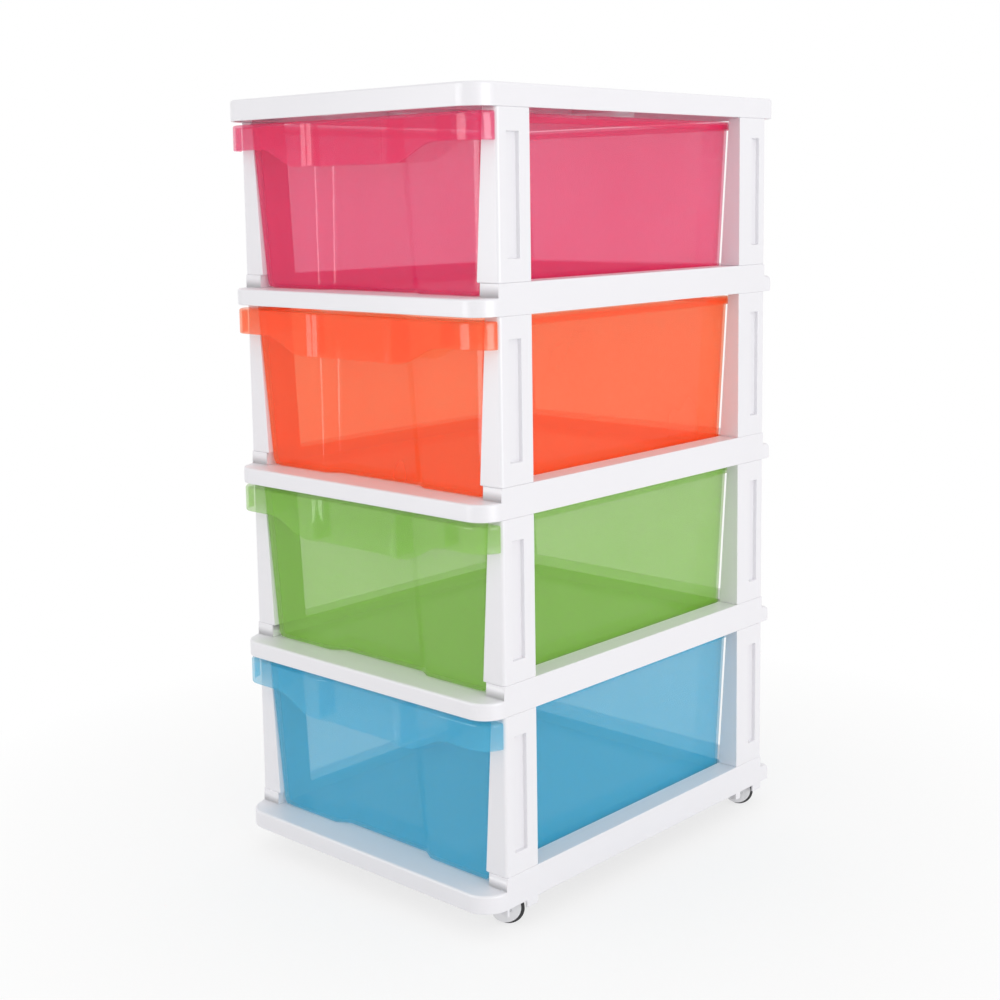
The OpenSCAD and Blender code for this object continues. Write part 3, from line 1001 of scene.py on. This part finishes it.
@dataclass
class Drawer:
    """A drawer: tub with a recessed front, waved flange, gussets and rim.

    Heights are above the drawer's own foot, and places along Y are those in the frame. Half widths
    are measured from the drawer's middle. Slopes are lengths to a length of height.

    Attributes:
        colour: Colour of the plastic, with which the node's name starts.
        foot: Height of the foot above the floor.
        height: Height of the top.
        wall: Thickness of the walls.
        foot_half: Half width of the tub at its foot.
        rim_half: Half width of the rim.
        front: Place of the front wall at the foot.
        rear: Place of the rear wall at the foot.
        side_slope: Lean of the side walls.
        plate_slope: Lean of the front plate's outer ends.
        end_slope: Lean of the front and rear walls.
        side_radius: Rounding between the floor and the side walls.
        end_radius: Rounding between the floor and the front and rear walls.
        corner_radius: Rounding of the tub's upright corners.
        lip: Rounding of the tub's upper edge.
        recess_depth: Depth of the grip recess.
        recess_mouth: Half width of the recess at the front wall.
        recess_mouth_slope: How that gets less upwards.
        recess_back: Half width of the recess at its back.
        recess_back_slope: How that gets less upwards.
        recess_radius: Rounding of the recess's upright edges.
        plate_overlap: How far the front plate's wings reach into the tub.
        plate_rounding: Rounding of the wings' outer corners.
        plate_cut: Corner cut that stands for the middle of that rounding.
        plate_gap: Distance of the wings below the top.
        flange_front: Place of the flange's front edge.
        flange_back: Place of the flange's ends.
        flange_half: Half width of the flange.
        flange_radius: Radius of the flange's corners in plan.
        flange_rounding: Rounding of the flange's outer edge.
        flange_overlap: How far the flange reaches into the front wall.
        flange_clear: How far it stays clear of the recess's sides.
        grip_set: How far the flange is set back over the recess.
        grip_inner: Half width of the set-back.
        grip_outer: Half width at which it has run out.
        skirt_middle: Depth of the skirt in the middle.
        skirt_end: Depth of the skirt at its ends.
        skirt_rounding: Rounding of the skirt's lower edge.
        skirt_cut: Corner cut that stands for the middle of that rounding.
        wave_inner: Half width at which the skirt's depth starts to change.
        wave_outer: Half width at which it has changed.
        gusset: Thickness of a gusset.
        gussets: Places of the gussets.
        gusset_lift: Distance of a gusset's foot above the skirt's.
        gusset_edge: Chamfer of a gusset's foot.
        rim_drop: Depth of the rim's own skirt.
        rim_rear: Place of the rim's rear edge.
        rim_wall: Thickness of the rim's own skirt.
        rim_radius: Radius of the rim's rear corners in plan.
        rim_side: How far the rim reaches inwards along the sides.
        rim_back: How far it reaches inwards along the rear.
        rim_bend: The most that it reaches inwards in its corners.
        rim_rounding: Rounding of the rim's edges.
        rim_cut: Corner cut that stands for the middle of that rounding.
    """

    colour: str
    foot: float
    height: float = 138.4 * MM
    wall: float = 2.2 * MM
    foot_half: float = 125.35 * MM
    rim_half: float = 133.38 * MM
    front: float = -171.8 * MM
    rear: float = 149.29 * MM
    side_slope: float = math.tan(math.radians(2.1))
    plate_slope: float = 8.0 / 131.0
    end_slope: float = math.tan(math.radians(2.2))
    side_radius: float = 7.0 * MM
    end_radius: float = 2.5 * MM
    corner_radius: float = 4.0 * MM
    lip: float = 0.6 * MM
    recess_depth: float = 7.0 * MM
    recess_mouth: float = 59.0 * MM
    recess_mouth_slope: float = 0.0347
    recess_back: float = 47.0 * MM
    recess_back_slope: float = 0.0644
    recess_radius: float = 5.0 * MM
    plate_overlap: float = 3.0 * MM
    plate_rounding: float = 0.5 * MM
    plate_cut: float = 0.15 * MM
    plate_gap: float = 0.4 * MM
    flange_front: float = -195.5 * MM
    flange_back: float = -178.5 * MM
    flange_half: float = 150.0 * MM
    flange_radius: float = 20.0 * MM
    flange_rounding: float = 1.8 * MM
    flange_overlap: float = 1.1 * MM
    flange_clear: float = 0.6 * MM
    grip_set: float = 3.0 * MM
    grip_inner: float = 39.0 * MM
    grip_outer: float = 50.0 * MM
    skirt_middle: float = 36.7 * MM
    skirt_end: float = 21.4 * MM
    skirt_rounding: float = 0.7 * MM
    skirt_cut: float = 0.2 * MM
    wave_inner: float = 57.0 * MM
    wave_outer: float = 103.5 * MM
    gusset: float = 1.5 * MM
    gussets: tuple[float, ...] = (-104.0 * MM, -50.0 * MM, 50.0 * MM, 104.0 * MM)
    gusset_lift: float = 1.0 * MM
    gusset_edge: float = 0.3 * MM
    rim_drop: float = 7.0 * MM
    rim_rear: float = 161.6 * MM
    rim_wall: float = 1.5 * MM
    rim_radius: float = 7.0 * MM
    rim_side: float = 4.1 * MM
    rim_back: float = 8.1 * MM
    rim_bend: float = 6.9 * MM
    rim_rounding: float = 0.4 * MM
    rim_cut: float = 0.12 * MM

    def build(self) -> bpy.types.Object:
        """Builds and dresses the drawer.

        Returns:
            The piece.
        """
        node = f"{self.colour}_drawer"
        solids = [self._tub(), *(self._plate_wing(side) for side in Side), self._flange_top()]
        solids += [self._skirt(), self._rim()]
        solids += [self._gusset(x) for x in self.gussets]
        shape = joined(solids)
        bmesh.ops.remove_doubles(shape, verts=shape.verts, dist=SAME_POINT_JOINED)
        bmesh.ops.translate(shape, vec=(0, 0, self.foot), verts=shape.verts)
        piece = dress(
            f"{node}_moulding", shape, TINTS[self.colour].make(), node
        )
        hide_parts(node)
        return piece

    def _ring(self, z: float, side_inset: float, inset: float) -> list[Vector]:
        """Plan of the tub at one height.

        Args:
            z: Height.
            side_inset: How far the side walls are moved inwards on top of inset.
            inset: How far every wall is moved inwards.

        Returns:
            Points of the ring.
        """
        side = self.foot_half + self.side_slope * z - side_inset
        front = self.front - self.end_slope * z
        rear = self.rear + self.end_slope * z
        mouth = self.recess_mouth - self.recess_mouth_slope * z
        back = self.recess_back - self.recess_back_slope * z
        r, rr = self.corner_radius, self.recess_radius
        corners = [
            (-side, rear, r),
            (-side, front, r),
            (-mouth, front, rr),
            (-back, front + self.recess_depth, rr),
            (back, front + self.recess_depth, rr),
            (mouth, front, rr),
            (side, front, r),
            (side, rear, r),
        ]
        return [Vector((p.x, p.y, z)) for p in rounded_outline(corners, inset)]

    def _tub(self) -> bpy.types.Object:
        """Makes the box of the drawer, open above.

        Returns:
            The solid.
        """
        rings = []
        side_centre = (
            self.foot_half
            + self.side_slope * self.side_radius
            - self.side_radius * math.hypot(1.0, self.side_slope)
        )
        for low, wall in ((0.0, 0.0), (self.wall, self.wall)):
            part = []
            side_r, end_r = self.side_radius - wall, self.end_radius
            for share in BEND_SHARES:
                z = low + side_r * share
                reach = side_centre + math.sqrt(max(side_r**2 - (self.side_radius - z) ** 2, 0.0))
                rise = min(z - low, end_r)
                end = end_r - math.sqrt(end_r**2 - (end_r - rise) ** 2)
                if share == 1.0:
                    part.append(self._ring(z, 0.0, wall))
                else:
                    side = self.foot_half + self.side_slope * z
                    part.append(self._ring(z, side - reach - end - wall, end + wall))
            top = self.height - self.lip
            for share in WALL_SHARES:
                z = low + side_r + (top - low - side_r) * share
                part.append(self._ring(z, 0.0, wall))
            inwards = self.lip if wall == 0.0 else -self.lip
            part += [
                self._ring(top + self.lip * up, 0.0, wall + inwards * across)
                for across, up in LIP_SHARES
            ]
            rings += part if wall == 0.0 else part[::-1]
        return closed_shell(rings, f"{self.colour} tub")

    def _plate_wing(self, side: Side) -> bpy.types.Object:
        """Makes the part of the front plate that stands out beside the tub.

        Args:
            side: The side on which it stands out.

        Returns:
            The solid.
        """
        rings = []
        inner = self.foot_half - self.plate_overlap
        rounded, bend, cut = self.plate_rounding, self.side_radius, self.plate_cut
        levels = [bend * share for share in PLATE_SHARES]
        levels += [self.height - self.rim_drop, self.height - self.plate_gap]
        for z in levels:
            if z < bend:
                outer = self.foot_half + self.plate_slope * bend - bend
                outer += math.sqrt(bend**2 - (bend - z) ** 2)
            else:
                outer = min(self.foot_half + self.plate_slope * z, self.rim_half)
            front = self.front - self.end_slope * z
            back = front + self.wall
            ring = [
                (inner, front), (outer - rounded, front), (outer - cut, front + cut),
                (outer, front + rounded), (outer, back - rounded), (outer - rounded, back),
                (inner, back),
            ]
            rings.append([Vector((side.value * x, y, z)) for x, y in ring])
        return closed_shell(rings, f"{self.colour} plate wing {side.value}")

    def _front_path(self, inset: float) -> list[tuple[Vector, Vector]]:
        """Outer edge of the flange from its left end to its right end.

        Args:
            inset: How far the edge moves inwards.

        Returns:
            Points with the direction inwards.
        """
        half = [(self.grip_inner * i / GRIP_STEPS, self.grip_set) for i in range(GRIP_STEPS + 1)]
        for i in range(1, BEND_STEPS + 1):
            share = i / BEND_STEPS
            x = self.grip_inner + (self.grip_outer - self.grip_inner) * share
            half.append((x, self.grip_set * (1 + math.cos(math.pi * share)) / 2))
        straight = self.flange_half - self.flange_radius
        for i in range(1, STRAIGHT_STEPS + 1):
            x = self.grip_outer + (straight - self.grip_outer) * i / STRAIGHT_STEPS
            half.append((x, 0.0))
        points = [Vector((x, self.flange_front + back)) for x, back in half]
        centre = Vector((straight, self.flange_front + self.flange_radius))
        last = math.asin((self.flange_back - centre.y) / self.flange_radius)
        for i in range(1, BEND_STEPS + 1):
            angle = -math.pi / 2 + (last + math.pi / 2) * i / BEND_STEPS
            points.append(centre + self.flange_radius * Vector((math.cos(angle), math.sin(angle))))
        points = [Vector((-p.x, p.y)) for p in reversed(points[1:])] + points
        path = []
        for i, point in enumerate(points):
            before, after = points[max(i - 1, 0)], points[min(i + 1, len(points) - 1)]
            along = (after - before).normalized()
            inwards = Vector((-along.y, along.x))
            path.append((point + inset * inwards, inwards))
        return path

    def _skirt_foot(self, x: float) -> float:
        """Height of the skirt's lower edge.

        Args:
            x: Place along the flange, 0 in the middle.

        Returns:
            The height.
        """
        share = (abs(x) - self.wave_inner) / (self.wave_outer - self.wave_inner)
        share = min(max(share, 0.0), 1.0)
        middle, end = self.skirt_middle, self.skirt_end
        return self.height - (middle + end) / 2 - math.cos(math.pi * share) * (middle - end) / 2

    def _skirt(self) -> bpy.types.Object:
        """Makes the skirt that hangs from the flange's edge.

        Returns:
            The solid.
        """
        rings = []
        rounded, cut, wall = self.skirt_rounding, self.skirt_cut, self.wall
        top = self.height - self.flange_rounding
        for point, inwards in self._front_path(0.0):
            foot = self._skirt_foot(point.x)
            ring = [
                (0.0, top), (0.0, (top + foot) / 2), (0.0, foot + rounded),
                (cut, foot + cut), (rounded, foot), (wall - rounded, foot),
                (wall - cut, foot + cut), (wall, foot + rounded),
                (wall, (top + foot) / 2), (wall, top),
            ]
            rings.append([Vector((*(point + inwards * u), z)) for u, z in ring])
        return closed_shell(rings, f"{self.colour} skirt")

    def _flange_top(self) -> bpy.types.Object:
        """Makes the flat top of the flange, with a rounded outer edge.

        Returns:
            The solid.
        """
        inner = self.front - self.end_slope * self.height + self.flange_overlap
        mouth = self.recess_mouth - self.recess_mouth_slope * self.height
        back = self.recess_back - self.recess_back_slope * self.height
        right = [
            (self.rim_half, self.flange_back), (self.rim_half, inner),
            (mouth + self.flange_clear, inner),
            (back + self.flange_clear, inner + self.recess_depth),
        ]
        behind = [Vector(p) for p in right] + [Vector((-x, y)) for x, y in reversed(right)]
        rings = []
        r = self.flange_rounding
        levels = [(0.0, self.height - self.wall), (0.0, self.height - r)]
        for share in WALL_SHARES:
            angle = math.pi / 2 * share
            levels.append((r * (1 - math.cos(angle)), self.height - r * (1 - math.sin(angle))))
        for inset, z in levels:
            rings.append(
                [Vector((*p, z)) for p, _ in self._front_path(inset)]
                + [Vector((*p, z)) for p in behind]
            )
        return closed_shell(rings, f"{self.colour} flange top")

    def _gusset(self, x: float) -> bpy.types.Object:
        """Makes one gusset between the skirt and the front wall.

        Args:
            x: Place of the gusset.

        Returns:
            The solid.
        """
        foot = self._skirt_foot(x) + self.gusset_lift
        top = self.height - self.wall / 2
        set_back = self.grip_set if abs(x) < self.grip_inner else 0.0
        front = self.flange_front + self.wall / 2 + set_back
        half, edge = self.gusset / 2, self.gusset_edge
        rings = []
        for z, less in ((foot, edge), (foot + edge, 0.0), (top, 0.0)):
            wall = self.front - self.end_slope * z + self.wall / 2
            if abs(x) < self.recess_back:
                wall += self.recess_depth
            elif abs(x) < self.recess_mouth - self.recess_mouth_slope * z:
                mouth = self.recess_mouth - self.recess_mouth_slope * z
                inner = self.recess_back - self.recess_back_slope * z
                wall += self.recess_depth * (mouth - abs(x)) / (mouth - inner)
            w = half - less
            rings.append(
                [Vector((x - w, front, z)), Vector((x + w, front, z)),
                 Vector((x + w, wall, z)), Vector((x - w, wall, z))]
            )
        return closed_shell(rings, f"{self.colour} gusset {x:.3f}")

    def _rim(self) -> bpy.types.Object:
        """Makes the rim that runs along the sides and the rear, with its own skirt.

        Returns:
            The solid.
        """
        e, cut, radius = self.rim_rounding, self.rim_cut, self.rim_radius
        start = self.front - self.end_slope * self.height + e
        path: list[tuple[Vector, Vector, float]] = []
        for i in range(RIM_STEPS + 1):
            y = start + (self.rim_rear - radius - start) * i / RIM_STEPS
            path.append((Vector((self.rim_half, y)), Vector((-1.0, 0.0)), self.rim_side))
        centre = Vector((self.rim_half - radius, self.rim_rear - radius))
        for i in range(1, RIM_STEPS + 1):
            angle = math.pi / 2 * i / RIM_STEPS
            out = Vector((math.cos(angle), math.sin(angle)))
            reach = self.rim_side + (self.rim_back - self.rim_side) * i / RIM_STEPS
            path.append((centre + radius * out, -out, min(reach, self.rim_bend)))
        corner = Vector((self.rim_half - radius - self.rim_wall, self.rim_rear))
        path.append((corner, Vector((0.0, -1.0)), self.rim_back))
        whole = path + [
            (Vector((-p.x, p.y)), Vector((-n.x, n.y)), reach) for p, n, reach in reversed(path)
        ]
        rings = []
        top, low = self.height, self.height - self.rim_drop
        for point, inwards, reach in whole:
            ring = [
                (reach, top), (e, top), (cut, top - cut), (0.0, top - e), (0.0, low + e),
                (e, low), (self.rim_wall - e, low), (self.rim_wall, low + e),
                (self.rim_wall, top - self.wall), (reach, top - self.wall),
            ]
            rings.append([Vector((*(point + inwards * u), z)) for u, z in ring])
        return closed_shell(rings, f"{self.colour} rim")


# ---------------------------------------------------------------- studio


@dataclass(frozen=True)
class Viewpoint:
    """Camera, placed by its position and its yaw, pitch and roll.

    Attributes:
        position: Place of the camera.
        yaw: Turn from +Y towards -X, in degrees.
        pitch: Downward tilt, in degrees.
        roll: Turn about the line of sight, in degrees.
        lens: Focal length in millimetres.
        sensor: Width of the sensor in millimetres.
        shift: Shift of the frame, as a share of its width.
    """

    position: tuple[float, float, float] = (0.9425, -1.0431, 0.580)
    yaw: float = 42.538
    pitch: float = 7.521
    roll: float = -0.834
    lens: float = 56.473
    sensor: float = 36.0
    shift: tuple[float, float] = (0.002, -0.0962)

    def make(self) -> bpy.types.Object:
        """Makes the scene's camera.

        Returns:
            The camera.
        """
        yaw, pitch, roll = (math.radians(a) for a in (self.yaw, self.pitch, self.roll))
        ahead = Vector(
            (-math.sin(yaw) * math.cos(pitch), math.cos(yaw) * math.cos(pitch), -math.sin(pitch))
        )
        right = Vector((math.cos(yaw), math.sin(yaw), 0.0))
        up = right.cross(ahead)
        level = math.cos(roll) * right + math.sin(roll) * up
        upright = math.cos(roll) * up - math.sin(roll) * right
        data = bpy.data.cameras.new("camera")
        data.sensor_width = self.sensor
        data.lens = self.lens
        data.shift_x, data.shift_y = self.shift
        camera = bpy.data.objects.new("camera", data)
        turn = Matrix((level, upright, -ahead)).transposed()
        camera.matrix_world = Matrix.Translation(self.position) @ turn.to_4x4()
        bpy.context.scene.collection.objects.link(camera)
        bpy.context.scene.camera = camera
        return camera


class Shows(Enum):
    """Where a studio light shows."""

    ON_MATT = "lights the matt share of a surface only"
    IN_GLOSS = "shows in gloss only"


@dataclass(frozen=True)
class SoftBox:
    """A tall studio light that faces a spot on the tower.

    Attributes:
        name: Name of the light.
        bearing: Direction from the spot, in degrees from +X towards +Y.
        spread: Angle that the box fills, in degrees.
        high: Height of its upper edge; the lower one is on the floor.
        radiance: How bright its face is, where 1 is white.
        distance: Distance from the spot.
        spot: Place on the floor plan that the box faces.
        shows: Where it shows.
    """

    name: str
    bearing: float
    spread: float
    high: float
    radiance: float
    distance: float = 5.0
    spot: tuple[float, float] = (0.0, 0.0)
    shows: Shows = Shows.ON_MATT

    def make(self) -> bpy.types.Object:
        """Makes the light.

        Returns:
            The light.
        """
        width = 2 * self.distance * math.tan(math.radians(self.spread / 2))
        data = bpy.data.lights.new(self.name, "AREA")
        data.shape = "RECTANGLE"
        data.size, data.size_y = width, self.high
        data.energy = self.radiance * math.pi * width * self.high
        light = bpy.data.objects.new(self.name, data)
        bearing = math.radians(self.bearing)
        out = Vector((math.cos(bearing), math.sin(bearing), 0.0))
        light.location = Vector((*self.spot, self.high / 2)) + out * self.distance
        light.rotation_mode = "QUATERNION"
        light.rotation_quaternion = (-out).to_track_quat("-Z", "Y")
        light.visible_camera = False
        light.visible_glossy = self.shows is Shows.IN_GLOSS
        light.visible_diffuse = light.visible_transmission = self.shows is Shows.ON_MATT
        bpy.context.scene.collection.objects.link(light)
        return light


FRONT_CORNER = (0.14, -0.19)


@dataclass
class Studio:
    """Floor, surroundings and lights.

    Attributes:
        ambient: Strength of the white surroundings as a light.
        floor_half: Half the floor's width.
        floor_drop: Gap under the wheels, which keeps the faces apart.
        boxes: The lights.
    """

    ambient: float = 0.92
    floor_half: float = 6.0
    floor_drop: float = 0.2 * MM
    boxes: tuple[SoftBox, ...] = (
        SoftBox("front left box", -114.0, 39.0, 1.9, 0.5),
        SoftBox("right box", -4.0, 30.0, 1.9, 3.3),
        SoftBox("left box", -167.0, 15.0, 1.9, 1.8),
        SoftBox("front left glint", -117.0, 33.0, 1.3, 4.5, 1.6, FRONT_CORNER, Shows.IN_GLOSS),
        SoftBox("right glint", -2.5, 31.0, 1.3, 6.0, 1.6, FRONT_CORNER, Shows.IN_GLOSS),
    )

    def build(self) -> None:
        """Builds the floor, the surroundings and the lights."""
        floor = self._floor()
        self._surroundings()
        for box in self.boxes:
            box.make()
        LOG.info("studio: floor and %d lights", len(self.boxes))

    def _floor(self) -> bpy.types.Object:
        """Makes the paper floor.

        Returns:
            The floor.
        """
        shape = bmesh.new()
        bmesh.ops.create_grid(shape, x_segments=4, y_segments=4, size=self.floor_half)
        mesh = bpy.data.meshes.new("floor")
        shape.to_mesh(mesh)
        shape.free()
        mesh.materials.append(StudioPaper("studio paper").make())
        floor = bpy.data.objects.new("floor", mesh)
        floor.location.z = -self.floor_drop
        bpy.context.scene.collection.objects.link(floor)
        return floor

    def _surroundings(self) -> None:
        """Makes surroundings that light softly and look white."""
        world = bpy.data.worlds.new("studio")
        bpy.context.scene.world = world
        graph = Graph(world, "ShaderNodeOutputWorld")
        strength = self.ambient + (1.0 - self.ambient) * graph.seen()
        graph.finish(graph.shader("ShaderNodeBackground", {"Color": WHITE, "Strength": strength}))


def main() -> None:
    """Builds the camera, the tower and the studio, and reports each piece."""
    logging.basicConfig(level=logging.INFO, format="%(name)s %(message)s")
    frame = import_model()
    Viewpoint().make()
    pieces = TowerFrame().build(frame)
    for colour in TINTS:
        pieces.append(Drawer(colour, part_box(f"{colour}_drawer")[0].z).build())
    pieces += Castors().build(frame)
    for piece in pieces:
        LOG.info("%s: %d faces", piece.name, len(piece.data.polygons))
    Studio().build()
    scene = bpy.context.scene
    scene.view_settings.view_transform = "Standard"
    scene.cycles.transparent_max_bounces = 32


if __name__ == "__main__":
    main()
